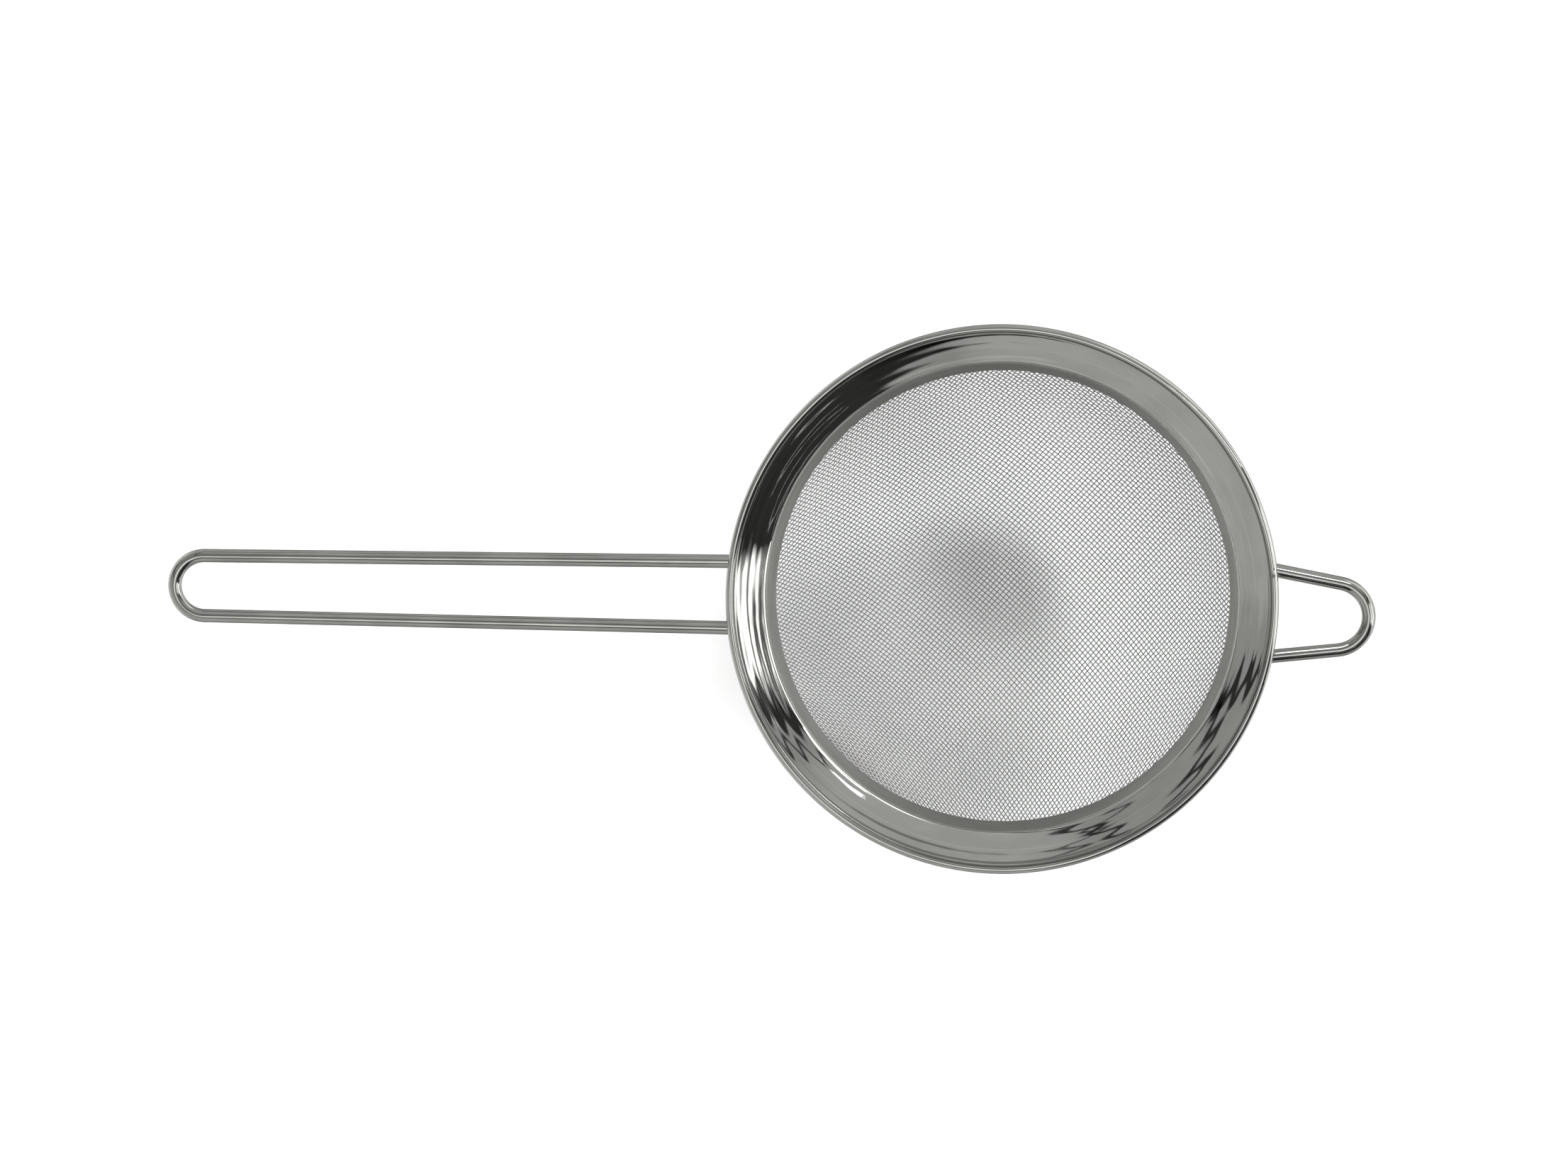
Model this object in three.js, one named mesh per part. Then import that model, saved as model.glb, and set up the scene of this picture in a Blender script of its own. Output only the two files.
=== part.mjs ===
// Kitchen strainer: a woven wire bowl hung in a rolled sheet rim, with a wire handle and a rest loop.
// Millimetres, +Z up. The handle runs along -X, the rest loop along +X, and the bowl stands on z = 0.
import * as THREE from 'three';

// Rim band: a rolled bead, a polished slope and a steep lip, all from one strip of sheet
const rimDiameter = 160;
const beadDiameter = 2.6;
const sheet = 0.6;
const slopeWidth = 9;
const slopeDrop = 4.8;
const slopeBulge = 0.9;
const shoulderRadius = 1.2;
const lipWidth = 2.5;
const lipDrop = 5.2;
const curlFrom = THREE.MathUtils.degToRad(-91.5);
const curlTo = THREE.MathUtils.degToRad(205.5);

// Woven bowl: each strand carries the metal of several thin wires of the real cloth
const bowlDepth = 42;
const strandSide = 0.6;
const strandsPerHalf = 12;
const weaveGap = 0.3;
const weaveTurn = THREE.MathUtils.degToRad(50);

// Clamp ring: holds the hem of the cloth against the outside of the lip
const hemClearance = 0.25;
const ringSheet = 0.6;
const ringRise = 1.5;
const hemShort = 0.6;

// Handle and rest loop: two bent wires whose legs tuck in under the bead
const wireDiameter = 4;
const seatGap = 0.3;
const handleReach = 244.4;
const handleEndRadius = 8.85;
const handleLegSpacing = 19.5;
const loopReach = 108;
const loopEndRadius = 9.8;
const loopLegSpacing = 25.9;
const loopTurn = THREE.MathUtils.degToRad(-2);
const tuckBend = 2.5;

// Facets
const rimSegments = 64;
const curlSteps = 9;
const slopeSteps = 4;
const shoulderSteps = 2;
const wireSides = 12;
const strandSides = 4;
const hairpinSteps = 14;
const bendSteps = 4;

const steel = { metalness: 1 };
const polished = { ...steel, color: 0xb4b5ae, roughness: 0.12 };
const drawn = { ...steel, color: 0xaaaba4, roughness: 0.25 };
const woven = { ...steel, color: 0xbcbcb9, roughness: 0.35 };

// Rim section, in (radius, height) with the top of the bead at height 0
const beadRadius = beadDiameter / 2;
const curlRadius = beadRadius - sheet / 2;
const beadCentre = new THREE.Vector2(rimDiameter / 2 - beadRadius, -beadRadius);
const slopeTop = new THREE.Vector2(Math.cos(curlTo), Math.sin(curlTo)).multiplyScalar(curlRadius).add(beadCentre);
const shoulder = slopeTop.clone().sub(new THREE.Vector2(slopeWidth, slopeDrop));
const lipFoot = shoulder.clone().sub(new THREE.Vector2(lipWidth, lipDrop));
const slopeNormal = new THREE.Vector2(slopeDrop, -slopeWidth).normalize();
const slopeCrown = slopeTop.clone().lerp(shoulder, 0.5).addScaledVector(slopeNormal, -slopeBulge);
const slopeFoot = shoulder.clone().add(slopeCrown.clone().sub(shoulder).setLength(shoulderRadius));
const slopeCurve = new THREE.QuadraticBezierCurve(slopeTop, slopeCrown, slopeFoot);
const lipDown = lipFoot.clone().sub(shoulder).normalize();
const lipOut = new THREE.Vector2(-lipDown.y, lipDown.x);

// Cloth, a spherical cap between the lip and the clamp ring at its hem
const crimp = (strandSide + weaveGap) / 2;
const clothThickness = 2 * crimp + strandSide;
const hemGap = clothThickness + 2 * hemClearance;
const hemFoot = lipFoot.clone().addScaledVector(lipOut, sheet / 2 + hemGap / 2);
const mouthRadius = hemFoot.x;
const bowlRadius = (mouthRadius ** 2 + bowlDepth ** 2) / (2 * bowlDepth);
const bowlArc = bowlRadius * Math.asin(mouthRadius / bowlRadius);
const strandPitch = bowlArc / (strandsPerHalf + 0.5);
const bowlBottom = clothThickness / 2;
const mouthHeight = bowlBottom + bowlDepth;
const rimTop = mouthHeight - hemFoot.y;
const hemSlope = lipDrop / lipWidth;
const hemTopRadius = mouthRadius + lipWidth * (1 - hemShort / lipDrop);

// The rim's axis stands off the middle so that the whole length is centred on the origin
const axisX = (handleReach - loopReach) / 2;

/** Offsets an open line in the plane to both sides and returns the closed outline of the strip. */
function stripOutline(line, thickness) {
  const left = [];
  const right = [];
  line.forEach((point, k) => {
    const before = line[Math.max(k - 1, 0)];
    const after = line[Math.min(k + 1, line.length - 1)];
    const into = point.clone().sub(before).normalize();
    const onward = after.clone().sub(point).normalize();
    const along = into.clone().add(onward).normalize();
    const half = thickness / 2 / (k > 0 && k < line.length - 1 ? along.dot(onward) : 1);
    const across = new THREE.Vector2(-along.y, along.x);
    left.push(point.clone().addScaledVector(across, half));
    right.push(point.clone().addScaledVector(across, -half));
  });
  return [...right, ...left.reverse(), right[0].clone()];
}

/** Turns a closed section, in (radius, height), about the rim's axis. */
function hoop(outline) {
  const geometry = new THREE.LatheGeometry(outline, rimSegments);
  geometry.rotateX(Math.PI / 2);
  return geometry;
}

/** Sweeps a regular section with a flat side up along points; ups are the directions its top faces. */
function wireAlong(points, ups, flatRadius, sides) {
  const corner = flatRadius / Math.cos(Math.PI / sides);
  const last = points.length - 1;
  const position = [];
  const index = [];
  points.forEach((point, k) => {
    const into = point.clone().sub(points[Math.max(k - 1, 0)]).normalize();
    const onward = points[Math.min(k + 1, last)].clone().sub(point).normalize();
    const tangent = into.add(onward).normalize();
    const across = ups[k].clone().cross(tangent).normalize();
    const up = tangent.clone().cross(across);
    for (let s = 0; s < sides; s += 1) {
      const angle = ((s + 0.5) * 2 * Math.PI) / sides;
      const spot = point.clone();
      spot.addScaledVector(across, corner * Math.cos(angle));
      spot.addScaledVector(up, corner * Math.sin(angle));
      position.push(spot.x, spot.y, spot.z);
    }
  });
  for (let k = 0; k < last; k += 1) {
    for (let s = 0; s < sides; s += 1) {
      const here = k * sides + s;
      const next = k * sides + ((s + 1) % sides);
      index.push(here, next, next + sides, here, next + sides, here + sides);
    }
  }
  for (let s = 1; s < sides - 1; s += 1) {
    index.push(0, s + 1, s);
    index.push(last * sides, last * sides + s, last * sides + s + 1);
  }
  const geometry = new THREE.BufferGeometry();
  geometry.setAttribute('position', new THREE.Float32BufferAttribute(position, 3));
  geometry.setIndex(index);
  return geometry;
}

/** Makes one named sub-part. */
function subPart(name, geometry, finish) {
  const mesh = new THREE.Mesh(geometry, new THREE.MeshStandardMaterial(finish));
  mesh.name = name;
  return mesh;
}

/** The rolled strip: curl, slope, rounded shoulder and lip. */
function rimBand() {
  const curl = new THREE.EllipseCurve(beadCentre.x, beadCentre.y, curlRadius, curlRadius, curlFrom, curlTo);
  const lipStart = shoulder.clone().addScaledVector(lipDown, shoulderRadius);
  const bend = new THREE.QuadraticBezierCurve(slopeFoot, shoulder, lipStart);
  const line = [
    ...curl.getPoints(curlSteps),
    ...slopeCurve.getPoints(slopeSteps).slice(1),
    ...bend.getPoints(shoulderSteps).slice(1),
    lipFoot,
  ];
  return subPart('rim_band', hoop(stripOutline(line, sheet)), polished);
}

/** The ring outside the hem, level with the lip's foot and a little taller than the lip. */
function clampRing() {
  const offset = sheet / 2 + hemGap + ringSheet / 2;
  const foot = lipFoot.clone().addScaledVector(lipOut, offset);
  const head = shoulder.clone().addScaledVector(lipOut, offset).addScaledVector(lipDown, -ringRise);
  return subPart('mesh_clamp_ring', hoop(stripOutline([head, foot], ringSheet)), drawn);
}

/** A round-ended wire on the rim: tucked ends, two legs and a half-round end, out along +X. */
function hairpin(name, reach, endRadius, legSpacing) {
  const radius = wireDiameter / 2;
  const legHeight = -beadDiameter - seatGap - radius;
  const tuck = slopeCurve.getPoint(0.5).sub(slopeTop);
  const tuckDirection = tuck.clone().normalize();
  const seat = sheet / 2 + seatGap + radius;
  const seatOut = new THREE.Vector2(-tuckDirection.y, tuckDirection.x);
  const tuckLine = slopeTop.clone().addScaledVector(seatOut, seat);
  const toCorner = (legHeight - tuckLine.y) / tuckDirection.y;
  const cornerReach = tuckLine.x + toCorner * tuckDirection.x;
  const halfSpacing = legSpacing / 2;
  const footReach = Math.sqrt(cornerReach ** 2 - halfSpacing ** 2);

  const centreReach = reach - radius - endRadius;
  const toFoot = new THREE.Vector2(footReach - centreReach, halfSpacing);
  const touchAngle = toFoot.angle() - Math.acos(endRadius / toFoot.length());
  const corner = new THREE.Vector3(footReach, halfSpacing, legHeight);
  const touch = new THREE.Vector3(
    centreReach + endRadius * Math.cos(touchAngle),
    endRadius * Math.sin(touchAngle),
    legHeight,
  );
  const outward = touch.clone().sub(corner).normalize();
  const inward = outward.clone().multiplyScalar(tuckDirection.x).setZ(tuckDirection.y);
  const tuckEnd = corner.clone().addScaledVector(inward, tuck.length());
  const bend = new THREE.QuadraticBezierCurve3(
    corner.clone().addScaledVector(inward, tuckBend),
    corner,
    corner.clone().addScaledVector(outward, tuckBend),
  );
  const half = [tuckEnd, ...bend.getPoints(bendSteps)];
  for (let k = 0; k < hairpinSteps / 2; k += 1) {
    const angle = touchAngle * (1 - (2 * k) / hairpinSteps);
    half.push(new THREE.Vector3(centreReach + endRadius * Math.cos(angle), endRadius * Math.sin(angle), legHeight));
  }
  const apex = new THREE.Vector3(centreReach + endRadius, 0, legHeight);
  const mirrored = half.map((point) => new THREE.Vector3(point.x, -point.y, point.z)).reverse();
  const points = [...half, apex, ...mirrored];
  const ups = points.map(() => new THREE.Vector3(0, 0, 1));
  return subPart(name, wireAlong(points, ups, radius, wireSides), drawn);
}

/** The middle of the cloth over a spot in plan: a spherical bowl with a conical hem above its mouth. */
function clothAt(x, y) {
  const reach = Math.hypot(x, y);
  if (reach > mouthRadius) {
    const height = mouthHeight + (reach - mouthRadius) * hemSlope;
    const up = new THREE.Vector3((-x / reach) * hemSlope, (-y / reach) * hemSlope, 1).normalize();
    return { point: new THREE.Vector3(x, y, height), up };
  }
  const centre = new THREE.Vector3(0, 0, bowlBottom + bowlRadius);
  const point = new THREE.Vector3(x, y, centre.z - Math.sqrt(bowlRadius ** 2 - reach ** 2));
  return { point, up: centre.sub(point).normalize() };
}

/** How far a strand lies over (+) or under (-) the middle of the cloth, from crossing to crossing. */
function weaveLift(row, crossing) {
  const from = Math.floor(crossing);
  const over = (row + from) % 2 === 0 ? 1 : -1;
  return over * crimp * (1 - 2 * (crossing - from));
}

/** One strand of the cloth, in an upright plane, over and under every strand that it crosses. */
function strand(name, row, lift, toPlan) {
  const offset = bowlRadius * Math.sin((row * strandPitch) / bowlRadius);
  const hemEnd = Math.sqrt(hemTopRadius ** 2 - offset ** 2);
  const mouthEnd = Math.sqrt(mouthRadius ** 2 - offset ** 2);
  const reaches = [-hemEnd, hemEnd];
  for (let other = -strandsPerHalf; other <= strandsPerHalf; other += 1) {
    const reach = bowlRadius * Math.sin((other * strandPitch) / bowlRadius);
    if (Math.abs(reach) < hemEnd - strandSide) {
      reaches.push(reach);
    }
  }
  for (const mouth of [-mouthEnd, mouthEnd]) {
    if (reaches.every((reach) => Math.abs(reach - mouth) > strandSide)) {
      reaches.push(mouth);
    }
  }
  reaches.sort((a, b) => a - b);
  const points = [];
  const ups = [];
  for (const reach of reaches) {
    const crossing = (bowlRadius * Math.asin(reach / bowlRadius)) / strandPitch;
    const { point, up } = clothAt(...toPlan(offset, reach));
    points.push(point.addScaledVector(up, lift * weaveLift(row, crossing)));
    ups.push(up);
  }
  return subPart(name, wireAlong(points, ups, strandSide / 2, strandSides), woven);
}

const strainer = new THREE.Group();

const rim = new THREE.Group();
rim.position.set(axisX, 0, rimTop);
rim.add(rimBand(), clampRing());
const restLoop = hairpin('rest_loop_wire', loopReach, loopEndRadius, loopLegSpacing);
restLoop.rotation.z = loopTurn;
rim.add(restLoop);
const handle = hairpin('handle_wire', handleReach, handleEndRadius, handleLegSpacing);
handle.rotation.z = Math.PI;
rim.add(handle);
strainer.add(rim);

const cloth = new THREE.Group();
cloth.position.x = axisX;
cloth.rotation.z = weaveTurn;
for (let row = -strandsPerHalf; row <= strandsPerHalf; row += 1) {
  const number = String(row + strandsPerHalf + 1).padStart(2, '0');
  cloth.add(strand(`warp_wire_${number}`, row, 1, (offset, reach) => [reach, offset]));
  cloth.add(strand(`weft_wire_${number}`, row, -1, (offset, reach) => [offset, reach]));
}
strainer.add(cloth);

export default strainer;
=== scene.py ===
"""Kitchen strainer: fine meshes, steel finishes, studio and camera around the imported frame."""

import logging
import math
from dataclasses import dataclass
from enum import Enum
from typing import Any, Callable, Iterable

import bpy
import numpy as np
from mathutils import Matrix, Vector


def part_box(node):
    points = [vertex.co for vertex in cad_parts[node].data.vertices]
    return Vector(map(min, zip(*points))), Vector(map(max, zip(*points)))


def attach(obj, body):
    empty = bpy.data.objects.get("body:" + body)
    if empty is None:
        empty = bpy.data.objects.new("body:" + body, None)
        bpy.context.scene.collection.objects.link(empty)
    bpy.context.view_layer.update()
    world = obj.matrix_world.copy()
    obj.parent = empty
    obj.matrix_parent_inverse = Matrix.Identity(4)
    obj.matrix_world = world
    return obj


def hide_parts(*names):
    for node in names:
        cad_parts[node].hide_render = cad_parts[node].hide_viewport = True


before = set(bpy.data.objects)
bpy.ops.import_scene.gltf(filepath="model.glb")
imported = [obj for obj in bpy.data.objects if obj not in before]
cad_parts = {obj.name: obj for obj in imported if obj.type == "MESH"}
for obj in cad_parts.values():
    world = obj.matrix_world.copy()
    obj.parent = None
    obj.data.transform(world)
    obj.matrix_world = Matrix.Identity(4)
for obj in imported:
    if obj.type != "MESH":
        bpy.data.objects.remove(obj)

MM = 0.001
LOG = logging.getLogger("strainer")
PHOTO_WIDTH = 2212
PHOTO_HEIGHT = 1659
FRAME_STRANDS = 25
MIDDLE_STRAND = 13
Triple = tuple[float, float, float]


class Slot(Enum):
    """Material slots of the record, one for each steel that the pieces are dressed in."""

    POLISHED = "polished_steel"
    SATIN = "satin_steel"
    DRAWN = "drawn_steel"
    WOVEN = "mesh_steel"


class Value:
    """A shader socket that does arithmetic by adding nodes to its graph."""

    def __init__(self, graph: "Graph", socket: bpy.types.NodeSocket) -> None:
        """Keeps the graph and the socket.

        Args:
            graph: The graph that new nodes go into.
            socket: The output socket that this value stands for.
        """
        self.graph = graph
        self.socket = socket

    def _maths(self, operation: str, *terms: Any) -> "Value":
        """Adds one Math node.

        Args:
            operation: The node's operation.
            terms: Values or numbers for its sockets, in order.

        Returns:
            The node's result.
        """
        return self.graph.node("ShaderNodeMath", {"operation": operation}, dict(enumerate(terms)))

    def __add__(self, other: Any) -> "Value":
        """Adds a value or a number."""
        return self._maths("ADD", self, other)

    def __radd__(self, other: float) -> "Value":
        """Adds to a number on the left."""
        return self._maths("ADD", other, self)

    def __sub__(self, other: Any) -> "Value":
        """Takes away a value or a number."""
        return self._maths("SUBTRACT", self, other)

    def __rsub__(self, other: float) -> "Value":
        """Takes this value from a number on the left."""
        return self._maths("SUBTRACT", other, self)

    def __mul__(self, other: Any) -> "Value":
        """Multiplies by a value or a number."""
        return self._maths("MULTIPLY", self, other)

    def __rmul__(self, other: float) -> "Value":
        """Multiplies a number on the left."""
        return self._maths("MULTIPLY", other, self)

    def __truediv__(self, other: Any) -> "Value":
        """Divides by a value or a number."""
        return self._maths("DIVIDE", self, other)

    def power(self, exponent: float) -> "Value":
        """Raises this value to a power."""
        return self._maths("POWER", self, exponent)

    def angle_from(self, across: "Value") -> "Value":
        """Gives the angle of the point (across, this value), in radians."""
        return self._maths("ARCTAN2", self, across)

    def arcsine(self) -> "Value":
        """Gives the angle whose sine this value is, in radians."""
        return self._maths("ARCSINE", self)

    def cosine(self) -> "Value":
        """Gives the cosine of this value, in radians."""
        return self._maths("COSINE", self)

    def size(self) -> "Value":
        """Gives this value without its sign."""
        return self._maths("ABSOLUTE", self)

    def ramp(self, start: float, end: float, low: float = 0.0, high: float = 1.0) -> "Value":
        """Eases from low to high while this value goes from start to end.

        Args:
            start: Where the ease begins.
            end: Where the ease ends.
            low: The result before start.
            high: The result after end.

        Returns:
            The eased value.
        """
        settings = {"interpolation_type": "SMOOTHSTEP"}
        return self.graph.node("ShaderNodeMapRange", settings, {0: self, 1: start, 2: end, 3: low, 4: high})

    def band(self, start: float, end: float, soft: float) -> "Value":
        """Gives 1 between start and end and 0 outside, with soft edges.

        Args:
            start: Where the band begins.
            end: Where the band ends.
            soft: How wide each edge is.

        Returns:
            The mask.
        """
        return self.ramp(start - soft, start + soft) * self.ramp(end - soft, end + soft, 1.0, 0.0)


Coat = tuple[Value, Value, Value]  # Tone, roughness and normal


class Graph:
    """Adds nodes to one node tree."""

    def __init__(self, tree: bpy.types.NodeTree) -> None:
        """Empties the tree.

        Args:
            tree: The material's or the world's node tree.
        """
        self.tree = tree
        self.tree.nodes.clear()

    def node(
        self,
        kind: str,
        settings: dict[str, Any] | None = None,
        inputs: dict[Any, Any] | None = None,
        output: Any = 0,
    ) -> Value:
        """Adds a node, sets it and feeds its sockets.

        Args:
            kind: The node's type name.
            settings: Its properties, set before its sockets.
            inputs: Values, numbers, colours or vectors by socket name or number.
            output: The name or number of the socket to return.

        Returns:
            The chosen output.
        """
        made = self.tree.nodes.new(kind)
        for name, setting in (settings or {}).items():
            setattr(made, name, setting)
        for name, term in (inputs or {}).items():
            if isinstance(term, Value):
                self.tree.links.new(term.socket, made.inputs[name])
            else:
                made.inputs[name].default_value = term
        return Value(self, made.outputs[output]) if made.outputs else Value(self, None)

    def split(self, vector: Value) -> tuple[Value, Value, Value]:
        """Splits a vector into its three parts.

        Args:
            vector: The vector to split.

        Returns:
            Its x, y and z.
        """
        parts = self.node("ShaderNodeSeparateXYZ", inputs={0: vector}).socket.node.outputs
        return Value(self, parts[0]), Value(self, parts[1]), Value(self, parts[2])

    def join(self, x: Any, y: Any, z: Any) -> Value:
        """Makes a vector of three values or numbers."""
        return self.node("ShaderNodeCombineXYZ", inputs={0: x, 1: y, 2: z})

    def noise(self, vector: Value, scale: float, detail: float = 2.0) -> Value:
        """Gives fractal noise, mostly between 0.3 and 0.7.

        Args:
            vector: Where to read the noise.
            scale: Features per unit.
            detail: Octaves.

        Returns:
            The noise as a number.
        """
        return self.node("ShaderNodeTexNoise", inputs={"Vector": vector, "Scale": scale, "Detail": detail})

    def blend(self, factor: Value, low: Triple, high: Triple) -> Value:
        """Mixes two colours.

        Args:
            factor: 0 for the first colour and 1 for the second.
            low: The first colour.
            high: The second colour.

        Returns:
            The mixed colour.
        """
        settings = {"data_type": "RGBA"}
        return self.node("ShaderNodeMix", settings, {0: factor, 6: (*low, 1.0), 7: (*high, 1.0)}, 2)

    def bump(self, height: Value, strength: float, distance: float) -> Value:
        """Turns a height into a normal.

        Args:
            height: The height, in units of distance.
            strength: How much of the bump shows.
            distance: The depth that a height of 1 stands for, in metres.

        Returns:
            The bumped normal.
        """
        inputs = {"Strength": strength, "Distance": distance, "Height": height}
        return self.node("ShaderNodeBump", inputs=inputs)


@dataclass(frozen=True)
class Finish:
    """A steel finish: its name, its light and dark tones, its range of roughness and its share of metal."""

    name: str
    light: Triple
    dark: Triple
    gloss: tuple[float, float]
    metal: float = 1.0

    def material(self, pattern: Callable[[Graph], Coat]) -> bpy.types.Material:
        """Makes the material from the pattern that lies on the surface.

        Args:
            pattern: Gives the tone from 0 to 1, the roughness from 0 to 1 and the normal.

        Returns:
            The new material.
        """
        made = bpy.data.materials.new(self.name)
        made.use_nodes = True
        graph = Graph(made.node_tree)
        tone, rough, normal = pattern(graph)
        shine = graph.node(
            "ShaderNodeBsdfPrincipled",
            inputs={
                "Base Color": graph.blend(tone, self.dark, self.light),
                "Metallic": self.metal,
                "Roughness": rough.ramp(0.0, 1.0, *self.gloss),
                "Normal": normal,
            },
        )
        graph.node("ShaderNodeOutputMaterial", inputs={"Surface": shine})
        return made


POLISHED_SHEET = Finish("polished_rim_steel", (0.78, 0.78, 0.75), (0.16, 0.16, 0.15), (0.025, 0.45))
SATIN_SHEET = Finish("satin_ring_steel", (0.55, 0.55, 0.53), (0.42, 0.42, 0.40), (0.24, 0.40))
DRAWN_WIRE = Finish("drawn_wire_steel", (0.71, 0.71, 0.68), (0.57, 0.57, 0.545), (0.03, 0.14))
WOVEN_WIRE = Finish("woven_wire_steel", (0.16, 0.16, 0.157), (0.11, 0.11, 0.108), (0.22, 0.40), 0.45)


class Bench:
    """Small moves that every piece needs while it is modelled."""

    weld_reach: float = 0.001 * MM
    smooth_angle: float = math.radians(35)

    @staticmethod
    def clear() -> None:
        """Leaves edit mode and deselects everything."""
        if bpy.context.object and bpy.context.object.mode != "OBJECT":
            bpy.ops.object.mode_set(mode="OBJECT")
        bpy.ops.object.select_all(action="DESELECT")

    @staticmethod
    def start_line(name: str, points: list[Vector]) -> bpy.types.Object:
        """Draws an open line of edges by extruding one vertex, and stays in edit mode.

        Args:
            name: The new object's name.
            points: The line's points in the frame, in metres.

        Returns:
            The object, with the whole line selected.
        """
        Bench.clear()
        bpy.ops.mesh.primitive_plane_add(size=MM)
        piece = bpy.context.object
        piece.name = name
        bpy.ops.object.mode_set(mode="EDIT")
        bpy.ops.mesh.merge(type="CENTER")
        bpy.ops.transform.translate(value=points[0])
        for before, after in zip(points, points[1:]):
            bpy.ops.mesh.extrude_region_move(TRANSFORM_OT_translate={"value": after - before})
        bpy.ops.mesh.select_all(action="SELECT")
        return piece

    @staticmethod
    def lathe(centre: Vector, steps: int) -> None:
        """Spins the selected line once round an upright axis and closes the seam.

        Args:
            centre: A point on the axis.
            steps: How many facets the turn has.
        """
        bpy.ops.mesh.spin(steps=steps, angle=math.tau, center=centre, axis=(0.0, 0.0, 1.0))
        bpy.ops.mesh.select_all(action="SELECT")
        bpy.ops.mesh.remove_doubles(threshold=Bench.weld_reach)
        bpy.ops.mesh.normals_make_consistent(inside=False)
        bpy.ops.object.mode_set(mode="OBJECT")

    @staticmethod
    def modify(piece: bpy.types.Object, kind: str, **settings: Any) -> None:
        """Adds one modifier, sets it and applies it.

        Args:
            piece: The object, made active here.
            kind: The modifier's type.
            settings: Its properties.
        """
        Bench.clear()
        piece.select_set(True)
        bpy.context.view_layer.objects.active = piece
        modifier = piece.modifiers.new(kind.lower(), kind)
        for name, setting in settings.items():
            setattr(modifier, name, setting)
        bpy.ops.object.modifier_apply(modifier=modifier.name)

    @staticmethod
    def spots(piece: bpy.types.Object) -> np.ndarray:
        """Gives the places of a mesh's vertices.

        Args:
            piece: The object, whose mesh is read.

        Returns:
            Points, one row each.
        """
        spots = np.empty(len(piece.data.vertices) * 3)
        piece.data.vertices.foreach_get("co", spots)
        return spots.reshape(-1, 3)

    @staticmethod
    def finish(
        piece: bpy.types.Object, material: bpy.types.Material, slot: Slot, nodes: Iterable[str]
    ) -> None:
        """Sets the place in the mesh, smooths and dresses a piece, hangs it on the root body and hides the
        frame's nodes that it stands for.

        Args:
            piece: The finished mesh.
            material: Its material.
            slot: The record's slot for its finish; not used.
            nodes: The frame's nodes that it stands for.
        """
        Bench.clear()
        piece.select_set(True)
        bpy.context.view_layer.objects.active = piece
        bpy.ops.object.transform_apply(location=True, rotation=True, scale=True)
        bpy.ops.object.shade_smooth_by_angle(angle=Bench.smooth_angle)
        piece.data.materials.clear()
        piece.data.materials.append(material)
        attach(piece, "root")
        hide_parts(*nodes)
        LOG.info("%s: %d faces for %s", piece.name, len(piece.data.polygons), ", ".join(nodes))


def bezier(start: Vector, control: Vector, end: Vector, steps: int) -> list[Vector]:
    """Samples a quadratic curve.

    Args:
        start: Its first point.
        control: Its control point.
        end: Its last point.
        steps: How many pieces to cut it into.

    Returns:
        The points, both ends among them.
    """
    shares = [step / steps for step in range(steps + 1)]
    return [start * (1 - t) ** 2 + control * (2 * t * (1 - t)) + end * t**2 for t in shares]


def direction(angle: float) -> Vector:
    """Gives the unit vector at an angle in the plane."""
    return Vector((math.cos(angle), math.sin(angle)))


@dataclass
class RimSection:
    """The rim's section in (radius, height) about its axis, in metres."""

    bead: float = 2.6 * MM
    sheet: float = 0.6 * MM
    slope_width: float = 9.0 * MM
    slope_drop: float = 4.8 * MM
    slope_bulge: float = 0.9 * MM
    shoulder_round: float = 1.2 * MM
    lip_width: float = 2.5 * MM
    lip_drop: float = 5.2 * MM
    hem_gap: float = 2.0 * MM
    curl_from: float = math.radians(-91.5)
    curl_to: float = math.radians(205.5)

    def __post_init__(self) -> None:
        """Works out the section's corners from the frame and the sizes."""
        low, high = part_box("rim_band")
        self.axis = Vector(((low[0] + high[0]) / 2, (low[1] + high[1]) / 2, 0.0))
        self.radius = (high[1] - low[1]) / 2
        self.top = high[2]
        curl = self.bead / 2 - self.sheet / 2
        self.curl_radius = curl
        self.bead_centre = Vector((self.radius - self.bead / 2, self.top - self.bead / 2))
        self.slope_top = self.bead_centre + direction(self.curl_to) * curl
        self.shoulder = self.slope_top - Vector((self.slope_width, self.slope_drop))
        self.lip_foot = self.shoulder - Vector((self.lip_width, self.lip_drop))
        upward = Vector((-self.slope_drop, self.slope_width)).normalized()
        self.slope_crown = (self.slope_top + self.shoulder) / 2 + upward * self.slope_bulge
        self.lip_down = (self.lip_foot - self.shoulder).normalized()
        self.lip_out = Vector((-self.lip_down.y, self.lip_down.x))

    def at(self, point: Vector) -> Vector:
        """Places a point of the section in the frame, on the side towards +X."""
        return self.axis + Vector((point.x, 0.0, point.y))


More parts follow.
